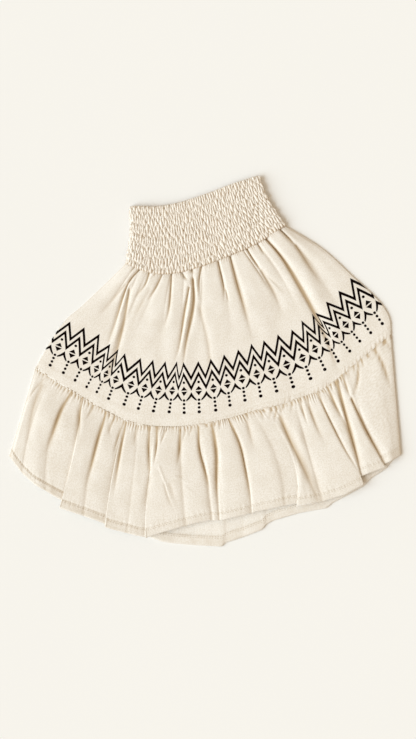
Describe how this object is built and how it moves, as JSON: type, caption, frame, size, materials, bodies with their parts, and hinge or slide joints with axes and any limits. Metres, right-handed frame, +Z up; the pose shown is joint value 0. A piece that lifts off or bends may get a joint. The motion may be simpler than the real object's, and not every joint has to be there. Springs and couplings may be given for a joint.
{
  "type": "ruffled mini skirt",
  "caption": "Mini skirt laid flat, with a shirred waistband, a gathered tier with a dark zigzag border and a gathered ruffle hem.",
  "frame": {"origin": "centre of the laid skirt's bounding box, on the surface it lies on", "axes": "+Z up from the surface, through the front of the skirt. +Y from the hem to the waist. +X to the right, seen from above."},
  "size_m": [0.4712, 0.4462, 0.0113],
  "materials": {
    "cloth": "matte cream cotton and linen with slubs",
    "shirred_cloth": "the same cloth in small tucks"
  },
  "bodies": {
    "root": {"waistband_front": "shirred_cloth", "waistband_back": "shirred_cloth", "tier_front": "cloth", "tier_back": "cloth", "ruffle_front": "cloth", "ruffle_back": "cloth"}
  },
  "joints": []
}
